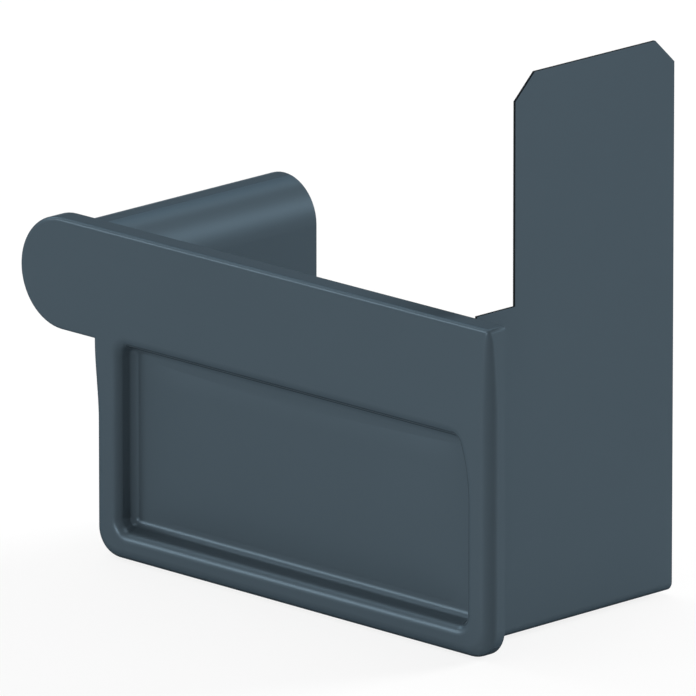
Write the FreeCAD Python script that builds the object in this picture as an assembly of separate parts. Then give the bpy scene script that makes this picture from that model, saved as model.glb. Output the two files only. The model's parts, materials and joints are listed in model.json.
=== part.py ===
import FreeCAD, Part

import math
import os

from FreeCAD import Vector

# End cap for a box gutter, closing one end of the run. X runs from the bead at the front to the
# fascia at the back, Y along the gutter from the closed face to the open end, and Z is up.
# The origin is the middle of the overall length and depth, at the foot. Millimetres and degrees.

# Sheet of both pieces
sheet = 0.7

# End plate: a box with a lobe for the bead at its upper front corner
box_width = 129.25
plate_height = 79.35
band_height = 27.15
lobe_overhang = 24.45
corner_radius = 7.0
rim_depth = 5.45

# Rounding of the plate's front edge: crisp along the top and the lobe, growing down the sides
crisp_edge = 0.9
soft_edge = 3.0
edge_growth_front = 20.0
edge_growth_fascia = 18.0

# Sunk field, to the sharp corners of its walls
front_rim = 7.4
fascia_rim = 7.1
bottom_rim = 6.6
field_height = 46.15
field_setback = 0.15
wall_run = 1.8
rim_radius = 2.6
foot_radius = 2.0
opening_radius_top = 3.4
opening_radius_low = 3.4
fascia_sweep_radius = 40.0
fascia_sweep_angle = 20.0

# Shallow hipped swelling pressed into the field's floor: a level strip with a crown that falls
# away above it, and a hip along each side. Its creases are as soft as its net is coarse.
hip_margin = 2.0
strip_rise = 0.8
strip_height = 22.0
crown_rise = 0.45
hip_run_front = 18.0
hip_run_fascia = 12.0
hip_run_low = 6.0
hip_run_top = 4.0
net_spacing = 4.0
net_degree = 2

# Sleeve: a short length of the gutter's own section, its back wall raised into a tab
sleeve_width = 117.3
sleeve_length = 70.3
fascia_bend = 2.35
bead_radius = 10.75
bead_top = 76.65
curl_angle = 325.0
back_rise = 0.35
tab_top = 134.15
tab_start = 18.1
tab_cut_run = 6.3
tab_cut_drop = 6.0

# Clearances between the two sheets
front_clearance = 1.9
floor_clearance = 0.33
end_clearance = 0.15
notch_clearance = 0.3

# Sealing compound in the inner corner of the two sheets
seal_width = 6.5
seal_cover = 1.5
seal_band_cover = 3.0
seal_below_rim = 3.0

# Places worked out from the sizes
face_y = -sleeve_length / 2
open_y = face_y + sleeve_length
rim_y = face_y + rim_depth
field_depth = rim_depth - sheet - field_setback
field_back_y = face_y + field_depth + sheet

box_front = (lobe_overhang - box_width) / 2
box_back = box_front + box_width
lobe_radius = band_height / 2
lobe_x = box_front - lobe_overhang + lobe_radius
lobe_z = plate_height - lobe_radius
band_low = plate_height - band_height
soft_top_front = band_low - edge_growth_front
soft_top_fascia = plate_height - edge_growth_fascia
field_top = bottom_rim + field_height

front_out = box_front + sheet + front_clearance
front_in = front_out + sheet
back_out = front_out + sleeve_width
back_in = back_out - sheet
floor_under = sheet + floor_clearance
floor_top = floor_under + sheet
front_bend = corner_radius - max(sheet + front_clearance, floor_under)
bead_x = front_in - bead_radius
bead_z = floor_under + bead_top - bead_radius
back_low_top = plate_height + back_rise
sleeve_y = face_y + soft_edge + end_clearance
tab_y = face_y + tab_start

# How far a cutting block runs past what it cuts, and how close two places count as one
past = 5.0
near = 0.001


def point(x, z, y):
    return Vector(x, y, z)


def line(start, end):
    return Part.LineSegment(start, end).toShape()


def arc(x, z, radius, start_angle, end_angle, y):
    """Arc in a plane across the gutter, with angles from +X towards +Z."""
    ends = []
    for angle in (start_angle, (start_angle + end_angle) / 2, end_angle):
        turn = math.radians(angle)
        ends.append(point(x + radius * math.cos(turn), z + radius * math.sin(turn), y))
    return Part.Arc(*ends).toShape()


def extrude(edges, length):
    """Solid that a closed run of edges sweeps along the gutter."""
    return Part.Face(Part.Wire(edges)).extrude(Vector(0, length, 0))


def block(x_start, x_end, y_start, y_end, z_start, z_end):
    corner = Vector(x_start, y_start, z_start)
    return Part.makeBox(x_end - x_start, y_end - y_start, z_end - z_start, corner)


def lies_at(edge, y):
    """True if the whole edge lies in the plane at y."""
    box = edge.BoundBox
    return abs(box.YMin - y) < near and abs(box.YMax - y) < near


def round_edges(shape, picks):
    """Rounds edges of a solid; a pick is an edge's number and the radius at its two ends."""
    work = FreeCAD.newDocument("rounding")
    base = work.addObject("Part::Feature", "base")
    base.Shape = shape
    rounding = work.addObject("Part::Fillet", "rounding")
    rounding.Base = base
    rounding.Edges = picks
    work.recompute()
    rounded = rounding.Shape.copy()
    FreeCAD.closeDocument(work.Name)
    return rounded


def plate_block(inset, y_start, y_end):
    """The plate's outline, moved inwards by inset, as a block with sharp edges."""
    front = box_front + inset
    back = box_back - inset
    low = inset
    top = plate_height - inset
    step = band_low + inset
    corner = corner_radius - inset
    lobe = lobe_radius - inset
    y = y_start
    edges = [
        line(point(back, top, y), point(lobe_x, top, y)),
        arc(lobe_x, lobe_z, lobe, 90, 270, y),
        line(point(lobe_x, step, y), point(front, step, y)),
        line(point(front, step, y), point(front, soft_top_front, y)),
        line(point(front, soft_top_front, y), point(front, low + corner, y)),
        arc(front + corner, low + corner, corner, 180, 270, y),
        line(point(front + corner, low, y), point(back - corner, low, y)),
        arc(back - corner, low + corner, corner, 270, 360, y),
        line(point(back, low + corner, y), point(back, soft_top_fascia, y)),
        line(point(back, soft_top_fascia, y), point(back, top, y)),
    ]
    return extrude(edges, y_end - y_start)


def round_front(shape, inset, y):
    """Rounds the block's edge at y: crisp along the top and the lobe, soft round the rest."""
    crisp = crisp_edge - inset
    soft = soft_edge - inset
    front = box_front + inset
    step = band_low + inset
    upper = []
    for number, edge in enumerate(shape.Edges, start=1):
        if lies_at(edge, y) and edge.BoundBox.XMin < front - near:
            upper.append((number, crisp, crisp))
    shape = round_edges(shape, upper)
    sides = []
    for number, edge in enumerate(shape.Edges, start=1):
        box = edge.BoundBox
        at_front = box.XMax < front + near
        beside_lobe = at_front and box.ZMax > step + near
        if not lies_at(edge, y) or box.XMin < front - near or beside_lobe:
            continue
        soft_top = soft_top_front if at_front else soft_top_fascia
        if box.ZMax < soft_top + near:
            sides.append((number, soft, soft))
        elif edge.Vertexes[0].Point.z > edge.Vertexes[-1].Point.z:
            sides.append((number, crisp, soft))
        else:
            sides.append((number, soft, crisp))
    return round_edges(shape, sides)


def field_outline(growth, y):
    """Outline of the sunk field, grown outwards; its fascia side sweeps in towards the top."""
    front = box_front + front_rim - growth
    back = box_back - fascia_rim + growth
    low = bottom_rim - growth
    top = field_top + growth
    top_r = opening_radius_top + growth
    low_r = opening_radius_low + growth
    sweep_r = fascia_sweep_radius + growth
    sweep = math.radians(fascia_sweep_angle)
    sweep_x = back - sweep_r
    sweep_z = top - top_r - (sweep_r - top_r) * math.sin(sweep)
    corner_x = sweep_x + (sweep_r - top_r) * math.cos(sweep)
    return [
        line(point(corner_x, top, y), point(front + top_r, top, y)),
        arc(front + top_r, top - top_r, top_r, 90, 180, y),
        line(point(front, top - top_r, y), point(front, low + low_r, y)),
        arc(front + low_r, low + low_r, low_r, 180, 270, y),
        line(point(front + low_r, low, y), point(back - low_r, low, y)),
        arc(back - low_r, low + low_r, low_r, 270, 360, y),
        line(point(back, low + low_r, y), point(back, sweep_z, y)),
        arc(sweep_x, sweep_z, sweep_r, 0, fascia_sweep_angle, y),
        arc(corner_x, top - top_r, top_r, fascia_sweep_angle, 90, y),
    ]


def swelling_rise(x, z, front, back, low, high):
    """How far the swelling stands over the floor: the lowest of its top and its four hips."""
    strip_top = low + strip_height
    fall = (z - strip_top) / (high - hip_run_top - strip_top)
    top = strip_rise + (crown_rise - strip_rise) * max(0.0, fall)
    hips = [
        strip_rise * (x - front) / hip_run_front,
        strip_rise * (back - x) / hip_run_fascia,
        strip_rise * (z - low) / hip_run_low,
        crown_rise * (high - z) / hip_run_top,
    ]
    return max(0.0, min(top, *hips))


def evenly(start, end, spacing):
    """Evenly spaced values from start to end, about spacing apart."""
    steps = round((end - start) / spacing)
    return [start + (end - start) * step / steps for step in range(steps + 1)]


def knots_for(poles):
    """Knots, and how often each counts, of a spline that starts and ends at its outer poles."""
    spans = len(poles) - net_degree
    end = [net_degree + 1]
    return list(range(spans + 1)), end + [1] * (spans - 1) + end


def field_swelling(floor_y):
    """The low hipped form that stands on the field's floor, as one soft skin over a net."""
    front = box_front + front_rim + wall_run + hip_margin
    back = box_back - fascia_rim - wall_run - hip_margin
    low = bottom_rim + wall_run + hip_margin
    high = field_top - wall_run - hip_margin
    columns = evenly(front, back, net_spacing)
    rows = evenly(low, high, net_spacing)
    net = []
    for x in columns:
        rises = [swelling_rise(x, z, front, back, low, high) for z in rows]
        net.append([point(x, z, floor_y - rise) for z, rise in zip(rows, rises)])
    column_knots, column_counts = knots_for(columns)
    row_knots, row_counts = knots_for(rows)
    skin = Part.BSplineSurface()
    skin.buildFromPolesMultsKnots(
        net,
        column_counts,
        row_counts,
        column_knots,
        row_knots,
        False,
        False,
        net_degree,
        net_degree,
    )
    cover = skin.toShape()
    base = Part.Face(Part.Wire(Part.sortEdges(cover.Edges)[0]))
    return Part.Solid(Part.Shell([cover, base]))


def field_pocket(growth):
    """The field's hollow, with sloping walls; growth gives the form of the sheet's other side."""
    slope = math.atan(wall_run / field_depth)
    depth = field_depth + growth
    slant = depth + past
    slant_run = slant * math.tan(slope)
    mouth = growth / math.cos(slope) + past * math.tan(slope)
    floor_y = face_y + depth
    y = face_y - 2 * past
    pocket = extrude(field_outline(mouth, y), floor_y - y)
    floor_edges = [edge for edge in pocket.Edges if lies_at(edge, floor_y)]
    pocket = pocket.makeChamfer(slant, slant_run, floor_edges)
    foot = foot_radius + growth
    picks = []
    for number, edge in enumerate(pocket.Edges, start=1):
        if lies_at(edge, floor_y):
            picks.append((number, foot, foot))
    return round_edges(pocket, picks)


def sink_field(shape, growth):
    """Cuts the field into one side of the sheet and rounds the edge of its opening."""
    y = face_y + growth
    swelling = field_swelling(y + field_depth)
    pocket = field_pocket(growth).cut(swelling)
    sunk = shape.cut(pocket)
    opening = Part.Wire(field_outline(growth, y)).BoundBox
    picks = []
    for number, edge in enumerate(sunk.Edges, start=1):
        box = edge.BoundBox
        across = box.XMin > opening.XMin - near and box.XMax < opening.XMax + near
        upright = box.ZMin > opening.ZMin - near and box.ZMax < opening.ZMax + near
        if lies_at(edge, y) and across and upright:
            picks.append((number, rim_radius - growth, rim_radius - growth))
    return round_edges(sunk, picks)


def plate_cavity():
    """The room behind the plate's sheet, inside its rim and round the back of the field."""
    y = face_y + sheet
    room = round_front(plate_block(sheet, y, rim_y + past), sheet, y)
    return sink_field(room, sheet)


def build_end_plate():
    """One pressed sheet: band, lobe, sunk field, and a rim turned back all round."""
    outside = round_front(plate_block(0, face_y, rim_y), 0, face_y)
    return sink_field(outside, 0).cut(plate_cavity())


def inner_run(y, top_front, top_back):
    """The sleeve's inner face from the front wall round the floor and up the back wall."""
    front_x = front_out + front_bend
    front_z = floor_under + front_bend
    back_x = back_out - fascia_bend
    back_z = floor_under + fascia_bend
    return [
        line(point(front_in, top_front, y), point(front_in, front_z, y)),
        arc(front_x, front_z, front_bend - sheet, 180, 270, y),
        line(point(front_x, floor_top, y), point(back_x, floor_top, y)),
        arc(back_x, back_z, fascia_bend - sheet, 270, 360, y),
        line(point(back_in, back_z, y), point(back_in, top_back, y)),
    ]


def sleeve_section(y):
    """The folded sheet across the gutter: curled bead, front wall, floor and back wall."""
    front_x = front_out + front_bend
    front_z = floor_under + front_bend
    back_x = back_out - fascia_bend
    back_z = floor_under + fascia_bend
    inner_bead = bead_radius - sheet
    turn = math.radians(curl_angle)
    curl_in = point(bead_x + inner_bead * math.cos(turn), bead_z + inner_bead * math.sin(turn), y)
    curl_out = point(bead_x + bead_radius * math.cos(turn), bead_z + bead_radius * math.sin(turn), y)
    outer_run = [
        line(point(back_in, tab_top, y), point(back_out, tab_top, y)),
        line(point(back_out, tab_top, y), point(back_out, back_z, y)),
        arc(back_x, back_z, fascia_bend, 360, 270, y),
        line(point(back_x, floor_under, y), point(front_x, floor_under, y)),
        arc(front_x, front_z, front_bend, 270, 180, y),
        line(point(front_out, front_z, y), point(front_out, bead_z, y)),
        arc(bead_x, bead_z, inner_bead, 0, curl_angle, y),
        line(curl_in, curl_out),
        arc(bead_x, bead_z, bead_radius, curl_angle, 0, y),
    ]
    return outer_run + inner_run(y, bead_z, tab_top)


def tab_corner(y, direction):
    """Wedge that cuts one upper corner off the tab, on the side that direction points to."""
    x = back_in - past
    slope = tab_cut_drop / tab_cut_run
    low = tab_top - tab_cut_drop - past * slope
    corners = [
        Vector(x, y - direction * tab_cut_run, tab_top),
        Vector(x, y + direction * past, low),
        Vector(x, y + direction * past, tab_top + past),
        Vector(x, y - direction * tab_cut_run, tab_top + past),
    ]
    wedge = Part.Face(Part.makePolygon(corners + corners[:1]))
    return wedge.extrude(Vector(sheet + 2 * past, 0, 0))


def build_gutter_sleeve():
    """One folded sheet: the section run along the gutter, then trimmed at the back wall."""
    sleeve = extrude(sleeve_section(sleeve_y), open_y - sleeve_y)
    x_start = back_in - past
    x_end = back_out + past
    y_start = sleeve_y - past
    above = tab_top + past
    field_reach = sheet + notch_clearance
    under_rim = plate_height - sheet - notch_clearance
    cuts = [
        block(x_start, x_end, y_start, tab_y, back_low_top, above),
        block(x_start, x_end, y_start, rim_y + notch_clearance, under_rim, above),
        block(
            x_start,
            x_end,
            y_start,
            field_back_y + end_clearance,
            bottom_rim - field_reach,
            field_top + field_reach,
        ),
        tab_corner(tab_y, -1),
        tab_corner(open_y, 1),
    ]
    for piece in cuts:
        sleeve = sleeve.cut(piece)
    return sleeve


def build_seam_sealant():
    """Sealing compound laid along the sleeve's inner faces, over the back of the plate."""
    y = face_y + sheet
    top = plate_height - sheet - seal_below_rim
    front_edge = front_in + seal_width
    back_edge = back_in - seal_width
    low_edge = floor_top + seal_width
    free_side = [
        line(point(back_in, top, y), point(back_edge, top, y)),
        line(point(back_edge, top, y), point(back_edge, low_edge, y)),
        line(point(back_edge, low_edge, y), point(front_edge, low_edge, y)),
        line(point(front_edge, low_edge, y), point(front_edge, top, y)),
        line(point(front_edge, top, y), point(front_in, top, y)),
    ]
    run = extrude(inner_run(y, top, top) + free_side, field_back_y + seal_cover - y)
    thinner = block(
        box_front - past,
        box_back + past,
        y + seal_band_cover,
        rim_y + past,
        field_top + seal_width,
        plate_height,
    )
    return run.cut(thinner).common(plate_cavity())


def main():
    os.makedirs("parts", exist_ok=True)
    pieces = {
        "end_plate": build_end_plate(),
        "gutter_sleeve": build_gutter_sleeve(),
        "seam_sealant": build_seam_sealant(),
    }
    for name, shape in pieces.items():
        solids = shape.Solids
        if len(solids) != 1 or not shape.isValid():
            raise ValueError(name + " is not one sound solid")
        solids[0].exportStep("parts/" + name + ".step")


if __name__ == "__main__":
    main()
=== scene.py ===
"""Finish and stage for a box-gutter end cap: coated sheet, seam sealant, soft studio light."""

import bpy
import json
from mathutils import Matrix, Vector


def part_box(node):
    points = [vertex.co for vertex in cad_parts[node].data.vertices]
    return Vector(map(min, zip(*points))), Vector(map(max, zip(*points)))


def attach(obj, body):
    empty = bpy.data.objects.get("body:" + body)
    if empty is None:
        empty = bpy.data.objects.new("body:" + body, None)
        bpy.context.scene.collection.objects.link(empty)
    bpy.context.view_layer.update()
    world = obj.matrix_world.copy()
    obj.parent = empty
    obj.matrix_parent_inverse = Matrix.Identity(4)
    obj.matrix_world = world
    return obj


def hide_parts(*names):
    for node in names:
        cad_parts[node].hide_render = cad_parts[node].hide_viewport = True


bl_info = {
    "name": "Gutter End Cap",
    "version": (1, 0, 0),
    "blender": (4, 5, 0),
    "location": "View3D > Sidebar > Gutter End Cap",
    "description": "Presses and coats the end plate, coats the sleeve, finishes the sealant, sets the stage",
    "category": "Object",
}

import json
import math

import bmesh
import bpy
from bpy.props import FloatProperty, FloatVectorProperty, PointerProperty
from bpy.types import Operator, Panel, PropertyGroup
from mathutils import Vector

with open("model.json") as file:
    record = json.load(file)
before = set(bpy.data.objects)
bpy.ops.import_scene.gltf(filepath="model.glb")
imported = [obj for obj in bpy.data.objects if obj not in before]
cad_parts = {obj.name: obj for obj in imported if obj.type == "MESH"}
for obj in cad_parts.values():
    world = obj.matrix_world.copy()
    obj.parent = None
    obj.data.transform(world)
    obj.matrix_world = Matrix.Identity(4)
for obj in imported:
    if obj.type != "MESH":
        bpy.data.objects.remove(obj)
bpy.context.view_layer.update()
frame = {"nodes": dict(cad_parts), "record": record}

BODY = "root"
(_, PLATE_FRONT, _), (PLATE_SIDE, _, PLATE_TOP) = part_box("end_plate")
(_, SLEEVE_START, _), (SLEEVE_BACK, SLEEVE_END, _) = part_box("gutter_sleeve")

# Thickness of the sheet, and the distance under which two points of its mesh are one
SHEET = 0.0007
WELD = 0.000002

# Least part of a cut face's normal that points along the gutter, or upwards on the tab
CUT_TILT = 0.4

# How far round the sleeve's ends and the plate's rim edge cut sheet is looked for, to paint shade on its cut
# edges
EDGE_MARGIN = 0.0003
RIM_MARGIN = 0.00002

# Rows of points cut into the growing edge, and the power that fades the corner into the top
EDGE_ROWS = 10
END_FADE = 4
SHEET_NORMAL = "sheet_normal"
UP = (0.0, 0.0, 1.0)

# Detail of the ripples' noise
RIPPLE_DETAIL = 2.0

# Slow drift of the coating's tone: forms per metre, detail, darkest and lightest share
DRIFT_SCALE = 18.0
DRIFT_DETAIL = 3.0
DARK_TONE = 0.97
LIGHT_TONE = 1.03

# Fine skin on the sealant
SKIN_LENGTH = 0.0011
SKIN_HEIGHT = 0.00003

# Strength of the white backdrop, the floor's sides and roughness, and how far the camera sees
BACKDROP_STRENGTH = 1.0
FLOOR_SIDES = 96
FLOOR_ROUGHNESS = 0.9
CAMERA_REACH = 100.0

# Azimuth, elevation, strength and spread of each lamp, with the angles in degrees
LAMPS = {
    "front_panel": (-14.0, 3.0, 1.15, 14.0),
    "front_strip": (-45.0, 12.0, 0.95, 20.0),
    "left_panel": (-85.0, 30.0, 1.4, 30.0),
    "back_panel": (163.0, 14.0, 6.2, 24.0),
    "right_panel": (222.0, 52.0, 1.3, 50.0),
    "ceiling": (0.0, 80.0, 0.8, 40.0),
}


def record_colour(slot):
    """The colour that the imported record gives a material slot."""
    for material in frame["record"]["materials"]:
        if material["slot"] == slot:
            return material["base_color"][:3]
    raise KeyError("the record has no material slot named " + slot)


class CoatingSettings(PropertyGroup):
    """The coil coating on both sheets."""

    plate_colour: FloatVectorProperty(
        name="Plate colour",
        description="Colour of the coating on the end plate",
        subtype="COLOR",
        min=0.0,
        max=1.0,
        default=record_colour("plate_coating"),
    )
    sleeve_colour: FloatVectorProperty(
        name="Sleeve colour",
        description="Colour of the coating on the gutter sleeve",
        subtype="COLOR",
        min=0.0,
        max=1.0,
        default=record_colour("sleeve_coating"),
    )
    # Near-black painted shade on the sheet's cut edges, which draws dark lines along them
    cut_edge_shade_colour: FloatVectorProperty(
        name="Cut edge colour",
        description="Colour of the sheet where it was cut through",
        subtype="COLOR",
        min=0.0,
        max=1.0,
        default=(0.012, 0.015, 0.018),
    )
    metallic: FloatProperty(
        name="Metallic share",
        description="Share of metal flake in the coating",
        subtype="FACTOR",
        min=0.0,
        max=1.0,
        default=0.32,
    )
    roughness: FloatProperty(
        name="Roughness",
        description="Roughness of the satin coating",
        subtype="FACTOR",
        min=0.0,
        max=1.0,
        default=0.33,
    )
    edge_tint: FloatProperty(
        name="Edge tint",
        description="Brightness of the flake where it is seen at a low angle",
        subtype="FACTOR",
        min=0.0,
        max=1.0,
        default=0.05,
    )
    peel_size: FloatProperty(
        name="Orange peel size",
        description="Distance between the faint ripples of the coating",
        subtype="DISTANCE",
        unit="LENGTH",
        default=0.0012,
    )
    peel_depth: FloatProperty(
        name="Orange peel depth",
        description="Height of the faint ripples of the coating",
        subtype="DISTANCE",
        unit="LENGTH",
        default=0.000002,
    )


class PlateSettings(PropertyGroup):
    """The rim of the end plate and the press radii at its upper corner on the fascia side."""

    rim_depth: FloatProperty(
        name="Rim depth",
        description="From the plate's front to the edge of its rim",
        subtype="DISTANCE",
        unit="LENGTH",
        default=0.00545,
    )
    soft_edge: FloatProperty(
        name="Soft edge",
        description="Outer press radius low on the fascia side",
        subtype="DISTANCE",
        unit="LENGTH",
        default=0.003,
    )
    crisp_edge: FloatProperty(
        name="Crisp edge",
        description="Outer press radius along the top and at the upper corner",
        subtype="DISTANCE",
        unit="LENGTH",
        default=0.0009,
    )
    edge_growth: FloatProperty(
        name="Edge growth",
        description="Height over which the crisp edge grows into the soft one",
        subtype="DISTANCE",
        unit="LENGTH",
        default=0.018,
    )


class SealantSettings(PropertyGroup):
    """The run of sealing compound in the corner of the two sheets."""

    colour: FloatVectorProperty(
        name="Colour",
        description="Colour of the cured compound",
        subtype="COLOR",
        min=0.0,
        max=1.0,
        default=record_colour("sealant"),
    )
    roughness: FloatProperty(
        name="Roughness",
        description="Roughness of the cured compound",
        subtype="FACTOR",
        min=0.0,
        max=1.0,
        default=0.65,
    )
    gloss: FloatProperty(
        name="Gloss",
        description="Strength of the cured compound's gloss",
        subtype="FACTOR",
        min=0.0,
        max=1.0,
        default=0.2,
    )
    wave_length: FloatProperty(
        name="Wave length",
        description="Distance between the swells that the tooling left",
        subtype="DISTANCE",
        unit="LENGTH",
        default=0.011,
    )
    wave_height: FloatProperty(
        name="Wave height",
        description="Height of the swells that the tooling left",
        subtype="DISTANCE",
        unit="LENGTH",
        default=0.0003,
    )


class StageSettings(PropertyGroup):
    """The camera, the floor and the light from all round."""

    azimuth: FloatProperty(
        name="Azimuth",
        description="Camera's turn round the end cap, 0 in front of the plate",
        subtype="ANGLE",
        unit="ROTATION",
        default=math.radians(44.95),
    )
    elevation: FloatProperty(
        name="Elevation",
        description="Camera's angle above the floor",
        subtype="ANGLE",
        unit="ROTATION",
        default=math.radians(15.5),
    )
    distance: FloatProperty(
        name="Distance",
        description="From the camera to the point that it looks at",
        subtype="DISTANCE",
        unit="LENGTH",
        default=4.277,
    )
    target: FloatVectorProperty(
        name="Target",
        description="Point that the camera looks at",
        subtype="XYZ",
        unit="LENGTH",
        default=(-0.01843, 0.01490, 0.04679),
    )
    lens: FloatProperty(
        name="Lens",
        description="Focal length of the camera in millimetres",
        subtype="DISTANCE_CAMERA",
        unit="CAMERA",
        default=946.4,
    )
    floor_radius: FloatProperty(
        name="Floor radius",
        description="Radius of the pale floor",
        subtype="DISTANCE",
        unit="LENGTH",
        default=30.0,
    )
    floor_colour: FloatVectorProperty(
        name="Floor colour",
        description="Colour of the pale floor",
        subtype="COLOR",
        min=0.0,
        max=1.0,
        default=(0.8, 0.8, 0.8),
    )
    floor_shadow: FloatProperty(
        name="Floor shadow",
        description="Share of the floor's look that its own light and shadow give",
        subtype="FACTOR",
        min=0.0,
        max=1.0,
        default=0.15,
    )
    ambient: FloatProperty(
        name="Ambient light",
        description="Even light from all round",
        default=0.02,
    )


def new_material(name):
    """An empty material with its node tree and its Principled shader."""
    material = bpy.data.materials.new(name)
    material.use_nodes = True
    tree = material.node_tree
    return material, tree, tree.nodes["Principled BSDF"]


def new_node(tree, kind, **values):
    """A node of one kind, with its properties set."""
    node = tree.nodes.new(kind)
    for key, value in values.items():
        setattr(node, key, value)
    return node


def feed(tree, socket, value):
    """Links an input to another node's output, or sets it to a plain value."""
    if isinstance(value, bpy.types.NodeSocket):
        tree.links.new(value, socket)
    else:
        socket.default_value = value


def math_node(tree, operation, *values):
    """A Math node's output."""
    node = new_node(tree, "ShaderNodeMath", operation=operation)
    for socket, value in zip(node.inputs, values):
        feed(tree, socket, value)
    return node.outputs[0]


def mix_node(tree, kind, share, first, second):
    """A Mix node's output: the first value where the share is 0, the second where it is 1."""
    node = new_node(tree, "ShaderNodeMix", data_type=kind)
    feed(tree, node.inputs["Factor"], share)
    feed(tree, node.inputs["A"], first)
    feed(tree, node.inputs["B"], second)
    return node.outputs["Result"]


def noise_node(tree, place, scale, detail):
    """Noise over the object's own coordinates, with its scale in forms per metre."""
    node = new_node(tree, "ShaderNodeTexNoise")
    node.inputs["Scale"].default_value = scale
    node.inputs["Detail"].default_value = detail
    tree.links.new(place, node.inputs["Vector"])
    return node.outputs["Fac"]


def ripples(tree, place, length, height, under=None):
    """Normal of fine ripples, which can lie on coarser ones whose normal is given."""
    relief = new_node(tree, "ShaderNodeBump")
    relief.inputs["Distance"].default_value = height
    tree.links.new(noise_node(tree, place, 1.0 / length, RIPPLE_DETAIL), relief.inputs["Height"])
    if under is not None:
        tree.links.new(under, relief.inputs["Normal"])
    return relief.outputs["Normal"]


def toned(colour, tone):
    """A colour made darker or lighter, with full cover."""
    return (*[tone * channel for channel in colour], 1.0)


def cut_edge_shade_share(tree, coordinates, top_x, first_y, last_y):
    """1 on the sheet's cut edges, where the painted shade goes: ends from first_y to last_y along the
    gutter, tops past top_x.
    """
    normal = new_node(tree, "ShaderNodeSeparateXYZ")
    tree.links.new(coordinates.outputs["Normal"], normal.inputs["Vector"])
    place = new_node(tree, "ShaderNodeSeparateXYZ")
    tree.links.new(coordinates.outputs["Object"], place.inputs["Vector"])
    along = math_node(tree, "ABSOLUTE", normal.outputs["Y"])
    across = math_node(tree, "GREATER_THAN", along, CUT_TILT)
    after_first = math_node(tree, "GREATER_THAN", place.outputs["Y"], first_y)
    before_last = math_node(tree, "LESS_THAN", place.outputs["Y"], last_y)
    upward = math_node(tree, "GREATER_THAN", normal.outputs["Z"], CUT_TILT)
    beyond_wall = math_node(tree, "GREATER_THAN", place.outputs["X"], top_x)
    between = math_node(tree, "MULTIPLY", after_first, before_last)
    ends = math_node(tree, "MULTIPLY", across, between)
    tops = math_node(tree, "MULTIPLY", upward, beyond_wall)
    return math_node(tree, "MAXIMUM", ends, tops)


def coated_sheet(name, colour, settings, top_x, first_y, last_y):
    """Satin coil coating: a faint ripple, a slight drift of tone, and cut edges painted near-black as
    painted shade lines.
    """
    material, tree, shader = new_material(name)
    coordinates = new_node(tree, "ShaderNodeTexCoord")
    place = coordinates.outputs["Object"]
    peel = ripples(tree, place, settings.peel_size, settings.peel_depth)
    tree.links.new(peel, shader.inputs["Normal"])
    drift = noise_node(tree, place, DRIFT_SCALE, DRIFT_DETAIL)
    tone = mix_node(tree, "RGBA", drift, toned(colour, DARK_TONE), toned(colour, LIGHT_TONE))
    # The cut edges get a near-black painted shade, which draws dark lines along the sheet's edges
    cut = cut_edge_shade_share(tree, coordinates, top_x, first_y, last_y)
    tone_with_edge_shade = mix_node(tree, "RGBA", cut, tone, (*settings.cut_edge_shade_colour, 1.0))
    tree.links.new(tone_with_edge_shade, shader.inputs["Base Color"])
    shader.inputs["Metallic"].default_value = settings.metallic
    shader.inputs["Roughness"].default_value = settings.roughness
    shader.inputs["Specular IOR Level"].default_value = 0.0
    shader.inputs["Specular Tint"].default_value = (*[settings.edge_tint] * 3, 1.0)
    return material


def cured_sealant(name, settings):
    """Matt sealing compound with tooled swells and a fine skin."""
    material, tree, shader = new_material(name)
    place = new_node(tree, "ShaderNodeTexCoord").outputs["Object"]
    swells = ripples(tree, place, settings.wave_length, settings.wave_height)
    skin = ripples(tree, place, SKIN_LENGTH, SKIN_HEIGHT, swells)
    tree.links.new(skin, shader.inputs["Normal"])
    shader.inputs["Base Color"].default_value = (*settings.colour, 1.0)
    shader.inputs["Roughness"].default_value = settings.roughness
    shader.inputs["Specular IOR Level"].default_value = settings.gloss
    return material


def dress(piece, material):
    """Gives a piece one material on all its faces."""
    piece.data.materials.clear()
    piece.data.materials.append(material)


def cut_rows(mesh, settings):
    """Adds rows of points up the fascia side, so that its front edge can grow row by row."""
    form = bmesh.new()
    form.from_mesh(mesh)
    bmesh.ops.remove_doubles(form, verts=form.verts, dist=WELD)
    edge_start = PLATE_SIDE - settings.soft_edge + WELD
    foot = PLATE_TOP - settings.edge_growth
    step = (settings.edge_growth - settings.soft_edge) / EDGE_ROWS
    for row in range(1, EDGE_ROWS + 1):
        beside = [face for face in form.faces if max(vertex.co.x for vertex in face.verts) > edge_start]
        edges = {edge for face in beside for edge in face.edges}
        points = {vertex for face in beside for vertex in face.verts}
        cut = [*beside, *edges, *points]
        height = (0.0, 0.0, foot + row * step)
        bmesh.ops.bisect_plane(form, geom=cut, plane_co=height, plane_no=UP)
    form.to_mesh(mesh)
    form.free()


def edge_radius(settings, layer, height):
    """Radius of the growing front edge at a height below the top, on one face of the sheet."""
    share = (height + layer - settings.crisp_edge) / (settings.edge_growth - settings.crisp_edge)
    grown = (settings.soft_edge - settings.crisp_edge) * math.sqrt(max(share, 0.0))
    return settings.crisp_edge + grown - layer


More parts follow.
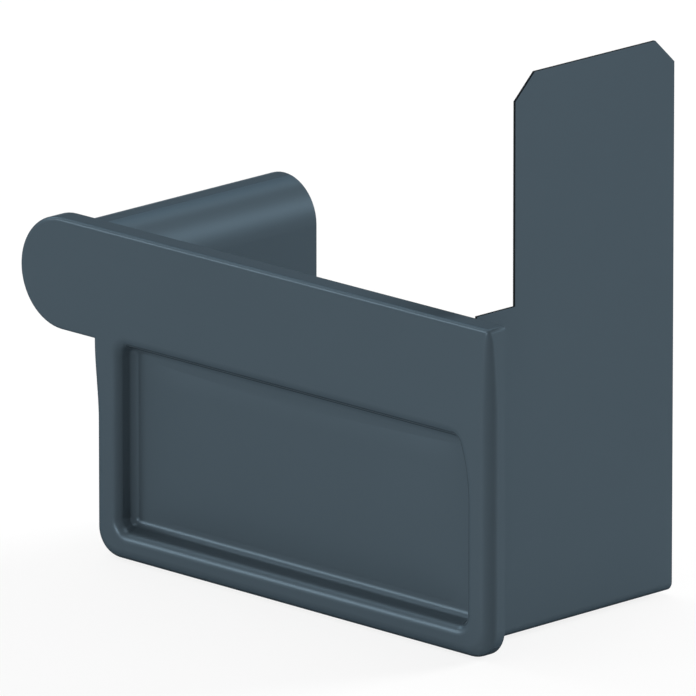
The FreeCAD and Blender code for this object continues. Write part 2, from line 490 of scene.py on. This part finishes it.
def crisp_place(inside, layer, settings):
    """A soft corner's point on the crisp corner, and the way out of the sheet there.

    A point is given by how far it lies inside the fascia side, the front and the top, and its
    layer is how far its face of the sheet lies inside the outer face. The top edge is crisp
    already, so a point keeps more of its place the nearer it is to that edge's end.
    """
    soft = settings.soft_edge - layer
    crisp = settings.crisp_edge - layer
    growth = settings.edge_growth - layer
    skin = Vector((layer, layer, layer))
    start = inside - skin
    kept = 1.0 - (1.0 - crisp / soft) * (1.0 - (start.x / soft) ** END_FADE)
    lift = (1.0 - kept) * min(start.z, soft * min(1.0, (growth - start.z) / (growth - soft)))
    placed = Vector((start.x * (crisp / soft), start.y, start.z - lift))
    rounded = start.y < soft + WELD
    if rounded:
        placed.y *= kept
    out = Vector([max(crisp - depth, 0.0) for depth in placed])
    if out.length > 0.0:
        out.normalize()
        placed = Vector([
            crisp - crisp * way if way > 0.0 else depth
            for way, depth in zip(out, placed)
        ])
    if rounded and out.z == 0.0 and out.length > 0.0:
        radius = edge_radius(settings, layer, placed.z)
        placed.x = radius - radius * out.x
        placed.y = radius - radius * out.y
    return placed + skin, out


def point_facings(mesh, normals):
    """The way each point faces: the sum of its corners' normals, without those of cut sheet."""
    facings = [Vector((0.0, 0.0, 0.0)) for vertex in mesh.vertices]
    for loop in mesh.loops:
        if normals[loop.index].y < CUT_TILT:
            facings[loop.vertex_index] += normals[loop.index]
    return facings


def on_outer_face(inside, facing, soft_edge):
    """Whether a point of the soft corner lies on the sheet's outer face."""
    centre = Vector([max(soft_edge - depth, 0.0) for depth in inside])
    if inside.y > soft_edge + WELD:
        return centre.length > soft_edge - SHEET / 2
    return Vector((facing.x, -facing.y, facing.z)).dot(centre) > 0.0


def crisp_corner(mesh, settings):
    """Presses the upper corner on the fascia side crisp, with an edge that softens downwards."""
    sheet_normals = mesh.attributes.new(SHEET_NORMAL, "FLOAT_VECTOR", "CORNER")
    for item, corner in zip(sheet_normals.data, mesh.corner_normals):
        item.vector = corner.vector
    cut_rows(mesh, settings)
    normals = [item.vector.copy() for item in mesh.attributes[SHEET_NORMAL].data]
    facings = point_facings(mesh, normals)
    outward = {}
    for vertex in mesh.vertices:
        inside = Vector((PLATE_SIDE - vertex.co.x, vertex.co.y - PLATE_FRONT, PLATE_TOP - vertex.co.z))
        if inside.x > settings.soft_edge + WELD or inside.z > settings.edge_growth - WELD:
            continue
        outer = on_outer_face(inside, facings[vertex.index], settings.soft_edge)
        placed, out = crisp_place(inside, 0.0 if outer else SHEET, settings)
        vertex.co = (PLATE_SIDE - placed.x, PLATE_FRONT + placed.y, PLATE_TOP - placed.z)
        if out.length > 0.0:
            outward[vertex.index] = (1.0 if outer else -1.0) * Vector((out.x, -out.y, out.z))
    for loop in mesh.loops:
        if loop.vertex_index in outward and normals[loop.index].y < CUT_TILT:
            normals[loop.index] = outward[loop.vertex_index]
    mesh.attributes.remove(mesh.attributes[SHEET_NORMAL])
    mesh.normals_split_custom_set(normals)


class ENDCAP_OT_end_plate(Operator):
    """Press the end plate's upper corner crisp and coat it"""

    bl_idname = "endcap.end_plate"
    bl_label = "End plate"

    def execute(self, context):
        coating = context.scene.endcap_coating
        press = context.scene.endcap_plate
        rim_edge = PLATE_FRONT + press.rim_depth
        # The plate's top is a fold and not a cut, so the painted shade on tops starts past the plate's own
        # side
        shade_bounds = (PLATE_SIDE, rim_edge - RIM_MARGIN, rim_edge + RIM_MARGIN)
        plate = bpy.data.objects.new("pressed_plate", frame["nodes"]["end_plate"].data.copy())
        context.scene.collection.objects.link(plate)
        crisp_corner(plate.data, press)
        dress(plate, coated_sheet("plate_coating", coating.plate_colour, coating, *shade_bounds))
        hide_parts("end_plate")
        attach(plate, BODY)
        return {"FINISHED"}


class ENDCAP_OT_gutter_sleeve(Operator):
    """Coat the folded gutter sleeve"""

    bl_idname = "endcap.gutter_sleeve"
    bl_label = "Gutter sleeve"

    def execute(self, context):
        coating = context.scene.endcap_coating
        # Bounds of the cut edges that get the near-black painted shade
        tab_inside = SLEEVE_BACK - SHEET - EDGE_MARGIN
        shade_bounds = (tab_inside, SLEEVE_START - EDGE_MARGIN, SLEEVE_END + EDGE_MARGIN)
        material = coated_sheet("sleeve_coating", coating.sleeve_colour, coating, *shade_bounds)
        dress(frame["nodes"]["gutter_sleeve"], material)
        return {"FINISHED"}


class ENDCAP_OT_seam_sealant(Operator):
    """Give the sealing compound its matt skin and tooled swells"""

    bl_idname = "endcap.seam_sealant"
    bl_label = "Seam sealant"

    def execute(self, context):
        material = cured_sealant("sealant", context.scene.endcap_sealant)
        dress(frame["nodes"]["seam_sealant"], material)
        return {"FINISHED"}


def camera_back(azimuth, elevation):
    """Unit vector from the target to a camera or lamp at two angles in radians."""
    level = math.cos(elevation)
    return Vector((math.sin(azimuth) * level, -math.cos(azimuth) * level, math.sin(elevation)))


def make_camera(scene, settings):
    """The camera, level and turned to its target."""
    data = bpy.data.cameras.new("camera")
    data.lens = settings.lens
    data.clip_end = CAMERA_REACH
    camera = bpy.data.objects.new("camera", data)
    scene.collection.objects.link(camera)
    back = camera_back(settings.azimuth, settings.elevation)
    camera.location = Vector(settings.target) + back * settings.distance
    camera.rotation_euler = (math.radians(90.0) - settings.elevation, 0.0, settings.azimuth)
    scene.camera = camera


def make_lamp(scene, name, azimuth, elevation, strength, spread):
    """A distant soft lamp at angles in degrees."""
    data = bpy.data.lights.new(name, "SUN")
    data.energy = strength
    data.angle = math.radians(spread)
    lamp = bpy.data.objects.new(name, data)
    scene.collection.objects.link(lamp)
    back = camera_back(math.radians(azimuth), math.radians(elevation))
    lamp.rotation_euler = back.to_track_quat("Z", "Y").to_euler()


def backdrop_rays(tree):
    """1 for camera, glossy and transmission rays, which see the white backdrop."""
    path = new_node(tree, "ShaderNodeLightPath")
    seen = math_node(tree, "MAXIMUM", path.outputs["Is Camera Ray"], path.outputs["Is Glossy Ray"])
    return math_node(tree, "MAXIMUM", seen, path.outputs["Is Transmission Ray"])


def make_world(scene, settings):
    """White where the backdrop is seen, and a faint even light on the object."""
    world = bpy.data.worlds.new("studio")
    world.use_nodes = True
    scene.world = world
    tree = world.node_tree
    background = tree.nodes["Background"]
    strength = mix_node(tree, "FLOAT", backdrop_rays(tree), settings.ambient, BACKDROP_STRENGTH)
    tree.links.new(strength, background.inputs["Strength"])
    background.inputs["Color"].default_value = (1.0, 1.0, 1.0, 1.0)


def make_floor(scene, settings):
    """A round floor, nearly white to the camera, that keeps the object's shadow."""
    mesh = bpy.data.meshes.new("floor")
    form = bmesh.new()
    bmesh.ops.create_circle(form, cap_ends=True, segments=FLOOR_SIDES, radius=settings.floor_radius)
    form.to_mesh(mesh)
    form.free()
    floor = bpy.data.objects.new("floor", mesh)
    scene.collection.objects.link(floor)
    material, tree, shader = new_material("pale_floor")
    shader.inputs["Base Color"].default_value = (*settings.floor_colour, 1.0)
    shader.inputs["Roughness"].default_value = FLOOR_ROUGHNESS
    shader.inputs["Specular IOR Level"].default_value = 0.0
    white = new_node(tree, "ShaderNodeEmission")
    mix = new_node(tree, "ShaderNodeMixShader")
    share = math_node(tree, "MULTIPLY", backdrop_rays(tree), 1.0 - settings.floor_shadow)
    tree.links.new(share, mix.inputs["Fac"])
    tree.links.new(shader.outputs["BSDF"], mix.inputs[1])
    tree.links.new(white.outputs["Emission"], mix.inputs[2])
    tree.links.new(mix.outputs["Shader"], tree.nodes["Material Output"].inputs["Surface"])
    mesh.materials.append(material)


class ENDCAP_OT_stage(Operator):
    """Set the floor, the soft light and the camera"""

    bl_idname = "endcap.stage"
    bl_label = "Stage"

    def execute(self, context):
        scene = context.scene
        settings = scene.endcap_stage
        make_world(scene, settings)
        make_floor(scene, settings)
        make_camera(scene, settings)
        for name, values in LAMPS.items():
            make_lamp(scene, name, *values)
        scene.view_settings.view_transform = "Standard"
        return {"FINISHED"}


class ENDCAP_PT_pieces(Panel):
    """Pieces of the end cap in the sidebar"""

    bl_label = "Gutter End Cap"
    bl_idname = "ENDCAP_PT_pieces"
    bl_space_type = "VIEW_3D"
    bl_region_type = "UI"
    bl_category = "Gutter End Cap"

    def draw(self, context):
        for operator in OPERATORS:
            self.layout.operator(operator.bl_idname)


OPERATORS = (
    ENDCAP_OT_end_plate,
    ENDCAP_OT_gutter_sleeve,
    ENDCAP_OT_seam_sealant,
    ENDCAP_OT_stage,
)
SETTINGS = {
    "endcap_coating": CoatingSettings,
    "endcap_plate": PlateSettings,
    "endcap_sealant": SealantSettings,
    "endcap_stage": StageSettings,
}
CLASSES = (*SETTINGS.values(), *OPERATORS, ENDCAP_PT_pieces)


def register():
    for kind in CLASSES:
        bpy.utils.register_class(kind)
    for name, kind in SETTINGS.items():
        setattr(bpy.types.Scene, name, PointerProperty(type=kind))


def unregister():
    for name in SETTINGS:
        delattr(bpy.types.Scene, name)
    for kind in reversed(CLASSES):
        bpy.utils.unregister_class(kind)


def main():
    """Makes the pieces and the stage."""
    register()
    bpy.ops.endcap.end_plate()
    bpy.ops.endcap.gutter_sleeve()
    bpy.ops.endcap.seam_sealant()
    bpy.ops.endcap.stage()


if __name__ == "__main__":
    main()
